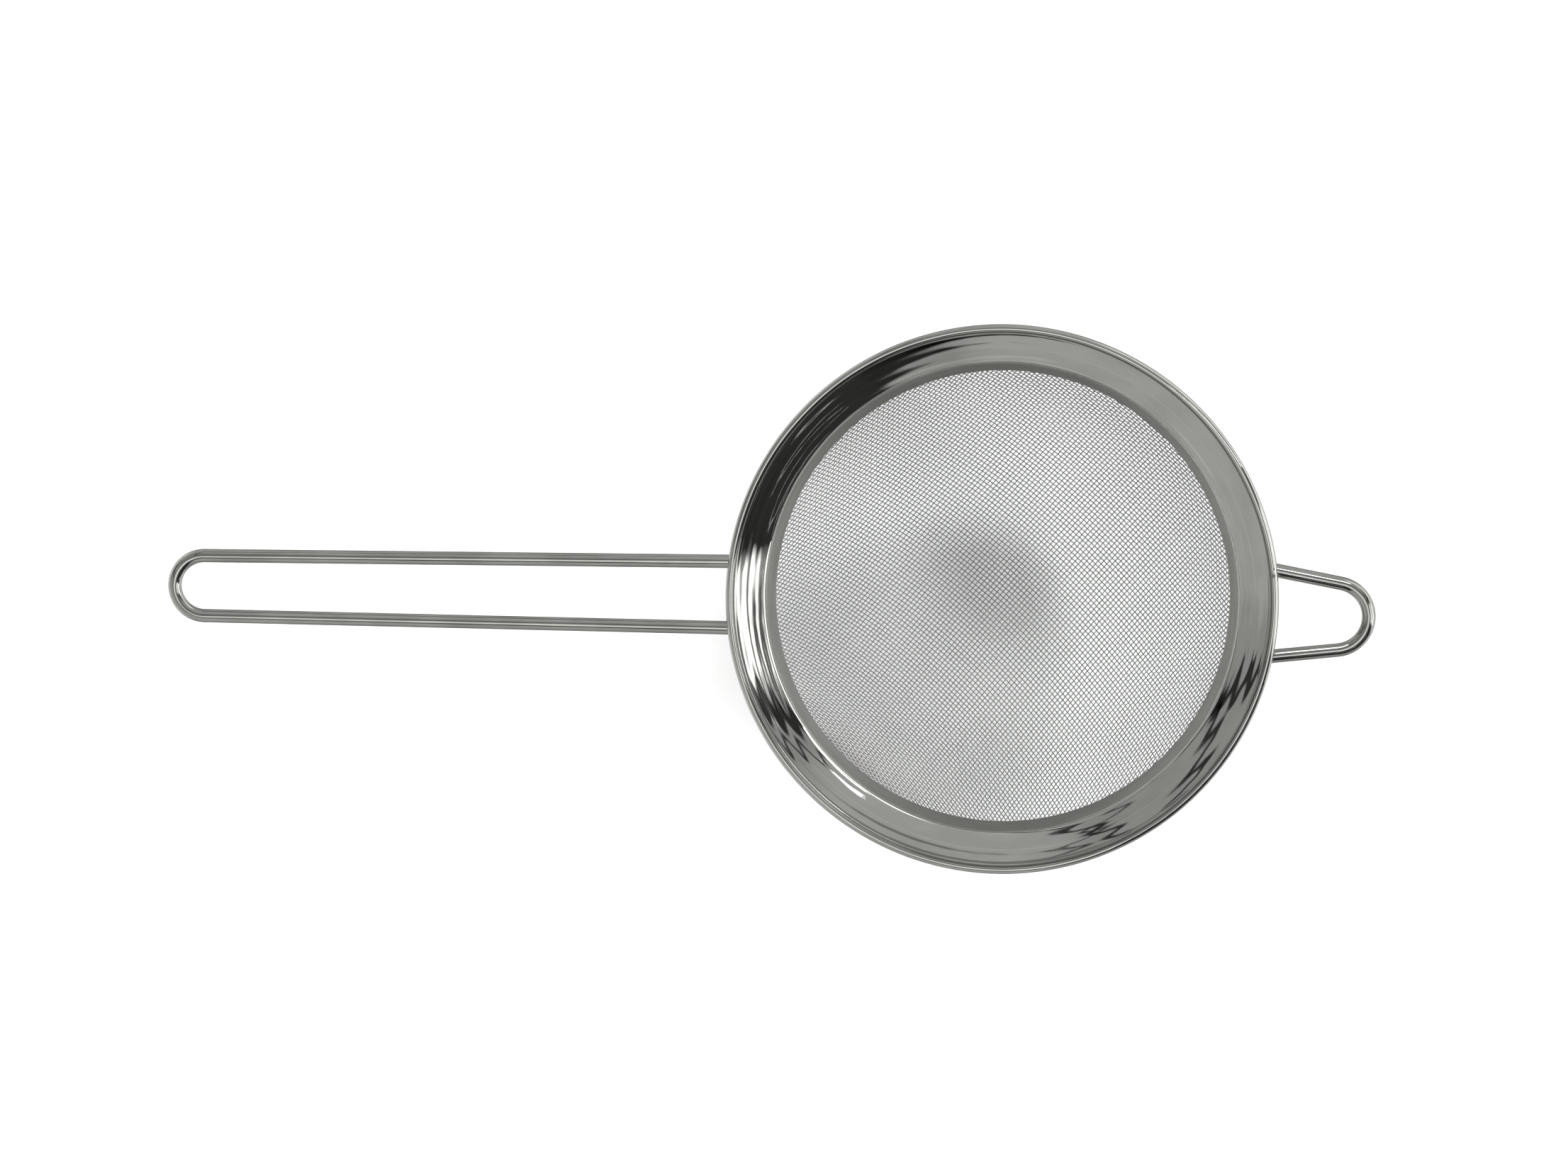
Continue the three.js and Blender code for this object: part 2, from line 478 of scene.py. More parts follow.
@dataclass
class RimBand:
    """The rolled strip: bead, slope, shoulder and lip, with the butt joint of its ends in the bead."""

    section: RimSection
    turn_steps: int = 512
    curl_steps: int = 28
    slope_steps: int = 28
    bend_steps: int = 6
    lip_steps: int = 5
    groove_round: float = 0.45 * MM
    shoulder_round: float = 0.8 * MM
    slope_bulge: float = 0.6 * MM
    mark_depth: float = 0.045 * MM
    mark_count: int = 3
    mark_fade: float = 5.0
    joint_bearing: float = math.radians(6.9)
    joint_width: float = 0.9 * MM
    joint_depth: float = 0.28 * MM
    joint_fade: float = 0.4 * MM
    joint_power: float = 0.7
    weld_bearing: float = math.radians(51)
    slope_margin: float = 0.1 * MM
    depth_swing: tuple[Triple, ...] = ((0.35, 3.0, 1.0), (0.25, 7.0, 2.2))
    shift_swing: tuple[Triple, ...] = ((0.6, 2.0, 0.5), (0.5, 5.0, 1.1))
    sway_swing: tuple[Triple, ...] = ((1.0, 4.0, 0.3), (0.6, 9.0, 2.0))

    def slope_ends(self) -> tuple[Vector, Vector]:
        """Works out where the polished slope begins and ends.

        Returns:
            Its top and its foot, in (radius, height).
        """
        s = self.section
        top = s.slope_top + (s.slope_crown - s.slope_top).normalized() * self.groove_round
        foot = s.shoulder + (s.slope_crown - s.shoulder).normalized() * self.shoulder_round
        return top, foot

    def centreline(self) -> list[Vector]:
        """Gives the middle of the sheet, from the end of the curl to the lip's foot.

        Returns:
            Points in (radius, height).
        """
        s = self.section
        curl_end = s.curl_to - self.groove_round / s.curl_radius
        sweep = np.linspace(s.curl_from, curl_end, self.curl_steps + 1)
        curl = [s.bead_centre + direction(angle) * s.curl_radius for angle in sweep]
        top, foot = self.slope_ends()
        upward = Vector((top.y - foot.y, foot.x - top.x)).normalized() * -1.0
        crown = (top + foot) / 2 + upward * self.slope_bulge
        lip_start = s.shoulder + s.lip_down * self.shoulder_round
        groove = bezier(curl[-1], s.slope_top, top, self.bend_steps)
        slope = bezier(top, crown, foot, self.slope_steps)
        bend = bezier(foot, s.shoulder, lip_start, self.bend_steps)
        lip = [lip_start.lerp(s.lip_foot, step / self.lip_steps) for step in range(1, self.lip_steps + 1)]
        return curl + groove[1:] + slope[1:] + bend[1:] + lip

    def build(self) -> bpy.types.Object:
        """Spins the centreline, ripples it, gives it the sheet's thickness and presses the joint.

        Returns:
            The mesh.
        """
        piece = Bench.start_line("rim_band_fine", [self.section.at(point) for point in self.centreline()])
        Bench.lathe(self.section.axis, self.turn_steps)
        self.roll_marks(piece)
        Bench.modify(piece, "SOLIDIFY", thickness=self.section.sheet, offset=0.0, use_even_offset=True)
        self.press_joint(piece)
        return piece

    @staticmethod
    def swing(turn: np.ndarray, waves: Iterable[Triple]) -> np.ndarray:
        """Adds up waves that run round the rim.

        Args:
            turn: Bearings in radians.
            waves: The size, the count round the rim and the start of each wave.

        Returns:
            The sum at each bearing.
        """
        return sum(size * np.sin(count * turn + start) for size, count, start in waves)

    def roll_marks(self, piece: bpy.types.Object) -> None:
        """Ripples the slope as rolling leaves it, in rings whose depth and place drift round the rim.

        Args:
            piece: The rim's surface, before it has a thickness.
        """
        spots = Bench.spots(piece)
        top, foot = self.slope_ends()
        flat = spots[:, :2] - np.array(self.section.axis)[:2]
        reach = np.hypot(flat[:, 0], flat[:, 1])
        turn = np.arctan2(flat[:, 1], flat[:, 0])
        share = np.clip((top.x - reach) / (top.x - foot.x), 0.0, 1.0)
        margin = self.slope_margin
        on_slope = (spots[:, 2] < top.y + margin) & (spots[:, 2] > foot.y - margin)
        fade = np.minimum(1.0, self.mark_fade * np.sqrt(share * (1 - share))) * on_slope
        depth = self.mark_depth * (1 + self.swing(turn, self.depth_swing))
        shift = self.swing(turn, self.shift_swing)
        sway = self.mark_depth * self.swing(turn, self.sway_swing)
        lift = fade * depth * np.sin(math.tau * self.mark_count * share + shift)
        spots[:, 2] += lift + sway * np.sin(math.pi * share) * on_slope
        piece.data.vertices.foreach_set("co", spots.ravel())

    def press_joint(self, piece: bpy.types.Object) -> None:
        """Sinks the bead a little where the ends of the strip meet.

        Args:
            piece: The rim's mesh.
        """
        s = self.section
        spots = Bench.spots(piece)
        flat = spots[:, :2] - np.array(s.axis)[:2]
        reach = np.hypot(flat[:, 0], flat[:, 1])
        away = (np.arctan2(flat[:, 1], flat[:, 0]) - self.joint_bearing) * s.radius
        share = np.clip(1 - np.abs(away) / self.joint_width, 0.0, 1.0) ** self.joint_power
        share *= np.clip((reach - s.slope_top.x) / self.joint_fade, 0.0, 1.0)
        across = reach - s.bead_centre.x
        rise = spots[:, 2] - s.bead_centre.y
        keep = 1 - share * self.joint_depth / (s.bead / 2)
        spots[:, :2] = np.array(s.axis)[:2] + flat * ((s.bead_centre.x + across * keep) / reach)[:, None]
        spots[:, 2] = s.bead_centre.y + rise * keep
        piece.data.vertices.foreach_set("co", spots.ravel())

    def pattern(self, graph: Graph) -> Coat:
        """Draws polishing lines round the rim, soft waves, a painted highlight line along the middle of the
        slope, painted shade in the groove and a duller lip.

        Args:
            graph: The material's graph.

        Returns:
            Tone, roughness and normal.
        """
        s = self.section
        x, y, z = graph.split(graph.node("ShaderNodeTexCoord", output="Object"))
        across = x - s.axis.x
        reach = (across * across + y * y).power(0.5)
        weld = (y.angle_from(across) - self.weld_bearing).size().ramp(0.003, 0.010, 1.0, 0.0)
        lip_start = s.shoulder.x + s.lip_down.x * self.shoulder_round
        lip = reach.ramp(lip_start - 0.15 * MM, lip_start + 0.1 * MM, 1.0, 0.0)
        round_x, round_y, slant = across / reach * 6.0, y / reach * 6.0, reach * 2.0 + z
        lines = graph.noise(graph.join(round_x, round_y, slant * 5000.0), 1.0, 3.0)
        waves = graph.noise(graph.join(round_x, round_y, slant * 120.0), 1.0, 1.0)
        smears = graph.noise(graph.join(across * 60.0, y * 60.0, z * 400.0), 1.0, 3.0)
        # Painted shade: the base colour is darkened by up to 85 percent in a narrow ring at the groove
        # between bead and slope; the groove is also rougher.
        groove = (reach - s.slope_top.x).size().ramp(0.12 * MM, 0.42 * MM, 1.0, 0.0)
        grain = graph.noise(graph.join(across * 3500.0, y * 3500.0, z * 3500.0), 1.0, 2.0)
        middle = (s.slope_top.x + s.shoulder.x) / 2.0
        # Painted highlight: a thin ring of lighter base colour along the middle of the slope stands in for
        # a bright reflection line.
        painted_highlight_line = (reach - middle).size().ramp(0.05 * MM, 0.3 * MM, 1.0, 0.0)
        tone = 0.8 + smears.ramp(0.35, 0.65) * 0.12 + grain * 0.1 + painted_highlight_line * 0.16
        tone = tone * (1.0 - lip * 0.3) * (1.0 - groove * 0.85)
        rough = smears.ramp(0.4, 0.75) * 0.06 + lines * 0.05 + lip * 0.85 + weld * 0.1 + groove * 0.3
        height = lines * 0.03 + waves - weld * 0.15
        return tone, rough, graph.bump(height, 1.0, 0.1 * MM)


@dataclass
class ClampRing:
    """The ring outside the hem of the cloth."""

    section: RimSection
    sheet: float = 0.6 * MM
    rise: float = 1.5 * MM
    turn_steps: int = 384
    wall_steps: int = 8
    edge_round: float = 0.15 * MM
    edge_steps: int = 2
    edge_angle: float = math.radians(40)

    def build(self) -> bpy.types.Object:
        """Spins the ring's wall, thickens it and rounds its edges.

        Returns:
            The mesh.
        """
        s = self.section
        offset = s.lip_out * (s.sheet / 2 + s.hem_gap + self.sheet / 2)
        foot = s.lip_foot + offset
        head = s.shoulder + offset - s.lip_down * self.rise
        line = [s.at(head.lerp(foot, step / self.wall_steps)) for step in range(self.wall_steps + 1)]
        piece = Bench.start_line("mesh_clamp_ring_fine", line)
        Bench.lathe(s.axis, self.turn_steps)
        Bench.modify(piece, "SOLIDIFY", thickness=self.sheet, offset=0.0)
        edge = {"width": self.edge_round, "segments": self.edge_steps, "angle_limit": self.edge_angle}
        Bench.modify(piece, "BEVEL", **edge)
        return piece

    def pattern(self, graph: Graph) -> Coat:
        """Draws fine satin lines that run round the ring.

        Args:
            graph: The material's graph.

        Returns:
            Tone, roughness and normal.
        """
        x, y, z = graph.split(graph.node("ShaderNodeTexCoord", output="Object"))
        across = x - self.section.axis.x
        bearing = y.angle_from(across)
        lines = graph.noise(graph.join(z * 6000.0, bearing * 8.0, 0.0), 1.0, 3.0)
        clouds = graph.noise(graph.join(across * 45.0, y * 45.0, z * 45.0), 1.0, 3.0)
        return clouds.ramp(0.3, 0.7), lines, graph.bump(lines, 0.3, 0.05 * MM)


@dataclass
class Hairpin:
    """A bent wire on the rim: tucked ends, two legs and a half-round end."""

    name: str
    node: str
    section: RimSection
    bearing: float
    end_radius: float
    leg_spacing: float
    reach: float
    tuck_bend: float = 2.5 * MM
    wire: float = 4.0 * MM
    seat_gap: float = 0.3 * MM
    sides: int = 28
    end_steps: int = 40
    bend_steps: int = 8

    def half_line(self) -> tuple[list[Vector], float]:
        """Works out the route of one leg, from its tucked end to the half-round end.

        Returns:
            The route's corners, out along +X from the rim's axis, and the angle where the end begins.
        """
        s = self.section
        radius = self.wire / 2
        height = s.top - s.bead - self.seat_gap - radius
        slope_end = s.shoulder + (s.slope_crown - s.shoulder).normalized() * s.shoulder_round
        tuck = bezier(s.slope_top, s.slope_crown, slope_end, 2)[1] - s.slope_top
        inward = tuck.normalized()
        seat = s.slope_top + Vector((-inward.y, inward.x)) * (s.sheet / 2 + self.seat_gap + radius)
        corner_reach = seat.x + (height - seat.y) / inward.y * inward.x
        half = self.leg_spacing / 2
        corner = Vector((math.sqrt(corner_reach**2 - half**2), half, height))
        centre = self.end_centre(height)
        to_corner = corner - centre
        start = math.atan2(to_corner.y, to_corner.x) - math.acos(self.end_radius / to_corner.length)
        touch = centre + Vector((math.cos(start), math.sin(start), 0.0)) * self.end_radius
        outward = (touch - corner).normalized()
        down = Vector((outward.x * inward.x, outward.y * inward.x, inward.y))
        return [corner + down * tuck.length, corner, touch], start

    def end_centre(self, height: float) -> Vector:
        """Gives the middle of the half-round end, out along +X from the rim's axis."""
        return Vector((self.reach - self.wire / 2 - self.end_radius, 0.0, height))

    def route(self) -> list[Vector]:
        """Gives points of the wire's middle line, out along +X from the rim's axis.

        Returns:
            Points from one tucked end to the other.
        """
        (tuck_end, corner, touch), start = self.half_line()
        into = (tuck_end - corner).normalized() * self.tuck_bend
        out = (touch - corner).normalized() * self.tuck_bend
        leg = [tuck_end, *bezier(corner + into, corner, corner + out, self.bend_steps), touch]
        centre = self.end_centre(touch.z)
        sweep = np.linspace(start, -start, self.end_steps + 1)[1:-1]
        end = [centre + Vector((math.cos(a), math.sin(a), 0.0)) * self.end_radius for a in sweep]
        return [*leg, *end, *[Vector((point.x, -point.y, point.z)) for point in reversed(leg)]]

    def bend(self, before: Vector, corner: Vector, after: Vector) -> None:
        """Extrudes the selected ring up to a corner and spins it round the bend.

        Args:
            before: Where the ring is.
            corner: Where the straight runs would meet.
            after: A point on the run that follows.
        """
        into = (before - corner).normalized()
        out = (after - corner).normalized()
        start = corner + into * self.tuck_bend
        bpy.ops.mesh.extrude_edges_move(TRANSFORM_OT_translate={"value": start - before})
        turn = math.pi - into.angle(out)
        radius = self.tuck_bend / math.tan(turn / 2)
        centre = corner + (into + out).normalized() * math.hypot(radius, self.tuck_bend)
        axis = into.cross(out).normalized()
        bpy.ops.mesh.spin(steps=self.bend_steps, angle=turn, center=centre, axis=axis)

    def build(self) -> bpy.types.Object:
        """Extrudes and spins a ring along the wire, caps its ends and turns it to its place on the rim.

        Returns:
            The mesh.
        """
        (tuck_end, corner, touch), start = self.half_line()
        mirror = Vector((1.0, -1.0, 1.0))
        facing = (corner - tuck_end).to_track_quat("Z", "Y").to_euler()
        Bench.clear()
        bpy.ops.mesh.primitive_circle_add(
            vertices=self.sides, radius=self.wire / 2, location=tuck_end, rotation=facing
        )
        piece = bpy.context.object
        piece.name = self.name
        bpy.ops.object.transform_apply(location=True, rotation=True, scale=True)
        bpy.ops.object.mode_set(mode="EDIT")
        bpy.ops.mesh.select_all(action="SELECT")
        self.bend(tuck_end, corner, touch)
        leg_start = corner + (touch - corner).normalized() * self.tuck_bend
        bpy.ops.mesh.extrude_edges_move(TRANSFORM_OT_translate={"value": touch - leg_start})
        bpy.ops.mesh.spin(
            steps=self.end_steps, angle=2 * start, center=self.end_centre(touch.z), axis=(0.0, 0.0, 1.0)
        )
        self.bend(touch * mirror, corner * mirror, tuck_end * mirror)
        tuck_start = corner + (tuck_end - corner).normalized() * self.tuck_bend
        bpy.ops.mesh.extrude_edges_move(TRANSFORM_OT_translate={"value": (tuck_end - tuck_start) * mirror})
        bpy.ops.mesh.select_all(action="SELECT")
        bpy.ops.mesh.remove_doubles(threshold=Bench.weld_reach)
        bpy.ops.mesh.fill_holes(sides=0)
        bpy.ops.mesh.normals_make_consistent(inside=False)
        bpy.ops.object.mode_set(mode="OBJECT")
        self.mark(piece, self.route())
        piece.matrix_world = Matrix.Translation(self.section.axis) @ Matrix.Rotation(self.bearing, 4, "Z")
        return piece

    def mark(self, piece: bpy.types.Object, route: list[Vector]) -> None:
        """Stores where each vertex lies across and along the wire, for the drawing lines.

        Args:
            piece: The wire's mesh.
            route: Its middle line.
        """
        spots = Bench.spots(piece)
        line = np.array([tuple(point) for point in route])
        lengths = np.concatenate([[0.0], np.cumsum(np.linalg.norm(np.diff(line, axis=0), axis=1))])
        nearest = np.linalg.norm(spots[:, None, :] - line[None, :, :], axis=2).argmin(axis=1)
        ahead = line[np.minimum(nearest + 1, len(line) - 1)] - line[np.maximum(nearest - 1, 0)]
        ahead /= np.linalg.norm(ahead, axis=1)[:, None]
        offset = spots - line[nearest]
        along = lengths[nearest] + (offset * ahead).sum(axis=1)
        side = np.cross((0.0, 0.0, 1.0), ahead)
        places = np.stack([(offset * side).sum(axis=1), offset[:, 2], along], axis=1)
        stored = piece.data.attributes.new("wire_place", "FLOAT_VECTOR", "POINT")
        stored.data.foreach_set("vector", places.ravel())

    def pattern(self, graph: Graph) -> Coat:
        """Draws the fine lengthwise lines of drawn wire.

        Args:
            graph: The material's graph.

        Returns:
            Tone, roughness and normal.
        """
        place = graph.node("ShaderNodeAttribute", {"attribute_name": "wire_place"}, output="Vector")
        side, up, along = graph.split(place)
        lines = graph.noise(graph.join(side * 4000.0, up * 4000.0, along * 25.0), 1.0, 3.0)
        clouds = graph.noise(graph.join(side * 200.0, up * 200.0, along * 60.0), 1.0, 3.0)
        waves = graph.noise(graph.join(side * 500.0, up * 500.0, along * 40.0), 1.0, 1.0)
        normal = graph.bump(lines * 0.3 + waves, 0.35, 0.06 * MM)
        return clouds.ramp(0.3, 0.7), lines * 0.7 + clouds * 0.3, normal


@dataclass
class WovenBowl:
    """The plain-woven cloth, wire by wire, pressed into a bowl.

    A dent is its place in plan, its depth and its reach, in millimetres.
    """

    section: RimSection
    depth: float = 42.0 * MM
    pitch: float = 1.27 * MM
    wire: float = 0.29 * MM
    turn: float = math.radians(50)
    bow: float = 7.0 * MM
    hem_short: float = 0.6 * MM
    points_per_pitch: int = 2
    dent_margin: float = 4.0 * MM
    fewest_points: int = 4
    dents: tuple[tuple[float, float, float, float], ...] = (
        (17.0, 58.0, 1.3, 5.0),
        (41.0, 37.0, -1.4, 6.0),
        (37.0, 50.0, 1.3, 5.0),
        (55.0, 26.0, 1.2, 5.0),
        (0.0, -52.0, 1.2, 7.0),
        (-27.0, -6.0, 0.5, 7.0),
        (-2.0, -37.0, -0.6, 6.0),
        (-48.0, 22.0, 0.8, 9.0),
        (-20.0, 45.0, -0.8, 9.0),
    )

    def __post_init__(self) -> None:
        """Works out the bowl's sphere and the hem from the rim's section."""
        s = self.section
        hem = s.lip_foot + s.lip_out * (s.sheet / 2 + s.hem_gap / 2)
        self.mouth = hem.x
        self.mouth_height = hem.y
        self.bottom = self.mouth_height - self.depth
        self.radius = (self.mouth**2 + self.depth**2) / (2 * self.depth)
        self.hem_slope = s.lip_drop / s.lip_width
        self.hem_top = self.mouth + s.lip_width * (1 - self.hem_short / s.lip_drop)
        plan = Matrix.Rotation(-self.turn, 2)
        self.hollows = [
            (plan @ Vector((x, y)) * MM, deep * MM, wide * MM) for x, y, deep, wide in self.dents
        ]
        self.rows = int(self.radius * math.asin(self.mouth / self.radius) / self.pitch)

    def line_place(self, rows: np.ndarray) -> np.ndarray:
        """Gives how far rows of wire lie from the middle, in plan.

        Args:
            rows: Row numbers, whole or between rows.

        Returns:
            Distances in metres.
        """
        return self.radius * np.sin(np.clip(rows * self.pitch / self.radius, -math.pi / 2, math.pi / 2))

    def drift(self, across: np.ndarray) -> np.ndarray:
        """Gives how far the cloth has slid along its warp, which bows the weft.

        Args:
            across: Distances from the middle warp wire.

        Returns:
            Slides in metres.
        """
        return self.bow * (1 - (across / self.mouth) ** 2)

    def surface(self, x: np.ndarray, y: np.ndarray) -> tuple[np.ndarray, np.ndarray]:
        """Gives the cloth's middle and its inward direction over spots in plan.

        Args:
            x: Distances along the warp.
            y: Distances along the weft.

        Returns:
            Points and unit vectors, one row each.
        """
        reach = np.hypot(x, y)
        inside = np.minimum(reach, self.mouth)
        centre = self.bottom + self.radius
        height = centre - np.sqrt(self.radius**2 - inside**2)
        height = height + np.maximum(reach - self.mouth, 0.0) * self.hem_slope
        free = np.clip((self.mouth - reach) / self.dent_margin, 0.0, 1.0)
        for spot, deep, wide in self.hollows:
            height = height - free * deep * np.exp(-((x - spot.x) ** 2 + (y - spot.y) ** 2) / wide**2)
        points = np.stack([x, y, height], axis=1)
        bowl = (np.array([0.0, 0.0, centre]) - points) / self.radius
        safe = np.maximum(reach, MM)
        cone = np.stack([-x / safe * self.hem_slope, -y / safe * self.hem_slope, np.ones_like(x)], axis=1)
        ups = np.where((reach > self.mouth)[:, None], cone, bowl)
        return points, ups / np.linalg.norm(ups, axis=1)[:, None]

    def wire_points(self, row: int, is_warp: bool) -> np.ndarray:
        """Routes one wire over and under those that it crosses.

        Args:
            row: The wire's row number.
            is_warp: Whether it is one of the warp wires.

        Returns:
            Its points in the frame, one row each; few or none if it misses the bowl.
        """
        limit = 2 * self.rows * self.points_per_pitch
        steps = np.arange(-limit, limit + 1) / self.points_per_pitch
        place = np.full_like(steps, float(self.line_place(np.array([row]))[0]))
        other = self.line_place(steps)
        y = place if is_warp else other
        x = (other if is_warp else place) + self.drift(y)
        keep = (np.hypot(x, y) < self.hem_top) & (np.abs(steps * self.pitch) < self.radius * math.pi / 2)
        points, ups = self.surface(x[keep], y[keep])
        over = np.cos(math.pi * (steps[keep] + row)) * (1 if is_warp else -1)
        points = points + ups * (over * self.wire / 2)[:, None]
        turn = np.array(Matrix.Rotation(self.turn, 3, "Z"))
        return points @ turn.T + np.array(self.section.axis)

    def build(self, name: str, is_warp: bool, rows: range) -> bpy.types.Object:
        """Draws a share of one family as round curves and makes them one mesh.

        Args:
            name: The new piece's name.
            is_warp: Whether to draw warp or weft wires.
            rows: The rows to draw.

        Returns:
            The mesh.
        """
        Bench.clear()
        bpy.ops.curve.primitive_bezier_curve_add()
        piece = bpy.context.object
        piece.name = name
        curve = piece.data
        curve.splines.clear()
        for row in rows:
            points = self.wire_points(row, is_warp)
            if len(points) < self.fewest_points:
                continue
            spline = curve.splines.new("POLY")
            spline.points.add(len(points) - 1)
            spline.points.foreach_set("co", np.column_stack([points, np.ones(len(points))]).ravel())
        curve.twist_mode = "MINIMUM"
        curve.bevel_depth = self.wire / 2
        curve.bevel_resolution = 1
        curve.use_fill_caps = True
        bpy.ops.object.convert(target="MESH")
        return bpy.context.object

    @staticmethod
    def pattern(graph: Graph) -> Coat:
        """Gives woven wire a slightly uneven tone.

        Args:
            graph: The material's graph.

        Returns:
            Tone, roughness and normal.
        """
        place = graph.node("ShaderNodeTexCoord", output="Object")
        grain = graph.noise(place, 1800.0, 2.0)
        clouds = graph.noise(place, 40.0, 2.0)
        return clouds.ramp(0.3, 0.7) * 0.6 + grain * 0.4, grain, graph.bump(grain, 0.25, 0.03 * MM)


@dataclass
class Studio:
    """A pale floor, soft light, a room for the steel to mirror, and the photograph's camera.

    A card is its name, middle, width, height and glow, a sun its name, bearing, rise, strength and spread,
    and a bar of the room its bearing, half width and lean. Angles in these rows are in degrees.
    """

    section: RimSection
    floor_size: float = 40.0
    backdrop_reach: float = 18.0
    backdrop_height: float = 24.0
    backdrop_sides: int = 96
    tilt: float = math.radians(6.62)
    bearing: float = math.radians(75.4)
    roll: float = math.radians(0.985)
    distance: float = 1.473
    focal: float = 7184.7
    rim_pixel_x: float = 1412.25
    rim_pixel_y: float = 848.03
    sensor: float = 36.0
    cards: tuple[tuple[str, Triple, float, float, float], ...] = (
        ("dark_card", (0.245, -0.12, 0.21), 0.26, 0.25, 0.03),
        ("streak_card", (0.245, -0.119, 0.185), 0.22, 0.008, 0.5),
        ("light_card", (0.165, 0.07, 0.128), 0.08, 0.026, 4.0),
    )
    suns: tuple[tuple[str, float, float, float, float], ...] = (
        ("overhead_light", 60.0, 88.0, 1.95, 60.0),
        ("far_light", 48.0, 17.0, 3.7, 18.0),
        ("right_light", 345.0, 18.0, 1.1, 24.0),
        ("left_light", 135.0, 32.0, 0.4, 30.0),
        ("near_light", 240.0, 25.0, 1.0, 24.0),
    )
    wire_light: tuple[str, float, float, float, float] = ("wire_light", 48.0, 58.0, 7.5, 14.0)
    spared: tuple[str, ...] = ("overhead_light", "left_light", "near_light")
    room_bars: tuple[Triple, ...] = (
        (24.0, 5.0, 0.5),
        (37.0, 1.5, 0.6),
        (114.0, 2.0, -0.6),
        (121.0, 1.2, 0.6),
        (156.0, 3.0, 0.7),
        (167.0, 4.0, -0.7),
    )
    wall_glow: float = 0.31
    side_glow: float = 0.1
    frame_glow: float = 0.1
    pane_glow: float = 1.6
    sky_glow: float = 0.2
    ceiling_glow: float = 0.7
    ceiling_lean: float = math.radians(12)
    table_glow: float = 0.2
    skyline_glow: float = 1.5

    @staticmethod
    def set_up(
        piece: bpy.types.Object, name: str, shader: str, inputs: dict[str, Any], unseen_by: Iterable[str]
    ) -> None:
        """Names and paints a thing of the studio, which isn't part of the object, and hides it from some
        kinds of rays.

        Args:
            piece: The floor, the backdrop or a card.
            name: Its name and its paint's name.
            shader: The shader node's type.
            inputs: The shader's settings.
            unseen_by: The kinds of rays that pass through it.
        """
        piece.name = name
        paint = bpy.data.materials.new(name)
        paint.use_nodes = True
        graph = Graph(paint.node_tree)
        graph.node("ShaderNodeOutputMaterial", inputs={"Surface": graph.node(shader, inputs=inputs)})
        piece.data.materials.append(paint)
        for rays in unseen_by:
            setattr(piece, f"visible_{rays}", False)

    def floor(self) -> None:
        """Lays the pale floor that the bowl stands on."""
        Bench.clear()
        bpy.ops.mesh.primitive_plane_add(size=self.floor_size)
        inputs = {"Base Color": (0.9, 0.9, 0.9, 1.0), "Roughness": 0.85}
        self.set_up(bpy.context.object, "studio_floor", "ShaderNodeBsdfPrincipled", inputs, ["glossy"])

    def backdrop(self) -> None:
        """Closes the view behind the floor with a pale wall that neither lights nor shades anything."""
        Bench.clear()
        bpy.ops.mesh.primitive_cylinder_add(
            vertices=self.backdrop_sides,
            radius=self.backdrop_reach,
            depth=self.backdrop_height,
            end_fill_type="NOTHING",
        )
        bpy.ops.object.shade_smooth()
        inputs = {"Color": (0.96, 0.96, 0.96, 1.0), "Strength": 1.0}
        unseen_by = ["glossy", "diffuse", "shadow"]
        self.set_up(bpy.context.object, "studio_backdrop", "ShaderNodeEmission", inputs, unseen_by)

    def card(self, name: str, middle: Triple, width: float, height: float, glow: float) -> None:
        """Stands a dark or a light card near the object, seen only as a reflection in the steel.

        Args:
            name: The card's name.
            middle: Its middle.
            width: Its size along X.
            height: Its size along Z.
            glow: How bright it is.
        """
        Bench.clear()
        bpy.ops.mesh.primitive_plane_add(size=1.0, location=middle, rotation=(math.pi / 2, 0.0, 0.0))
        piece = bpy.context.object
        piece.scale = (width, height, 1.0)
        bpy.ops.object.transform_apply(location=True, rotation=True, scale=True)
        inputs = {"Color": (1.0, 1.0, 1.0, 1.0), "Strength": glow}
        self.set_up(piece, name, "ShaderNodeEmission", inputs, ["camera", "diffuse", "shadow"])

    @staticmethod
    def sun(name: str, bearing: float, rise: float, strength: float, spread: float) -> None:
        """Adds soft even light from one side, which isn't mirrored in the steel.

        Args:
            name: The light's name.
            bearing: Where it comes from, in degrees from +X.
            rise: How high it stands, in degrees.
            strength: Its power in watts per square metre.
            spread: How wide it looks, in degrees.
        """
        Bench.clear()
        bpy.ops.object.light_add(type="SUN", location=(0.0, 0.0, 2.0))
        light = bpy.context.object
        light.name = name
        light.data.energy = strength
        light.data.angle = math.radians(spread)
        light.rotation_euler = (0.0, math.radians(90.0 - rise), math.radians(bearing))
        light.visible_glossy = False

    def light_wires(self, pieces: Iterable[bpy.types.Object]) -> None:
        """Keeps the wire light to some pieces and spares them the lights that flatten fine wire.

        Args:
            pieces: The pieces of fine wire.
        """
        for names, state in (((self.wire_light[0],), "INCLUDE"), (self.spared, "EXCLUDE")):
            group = bpy.data.collections.new(f"wires_{state.lower()}")
            for piece in pieces:
                group.objects.link(piece)
            for linked in group.collection_objects:
                linked.light_linking.link_state = state
            for name in names:
                bpy.data.objects[name].light_linking.receiver_collection = group

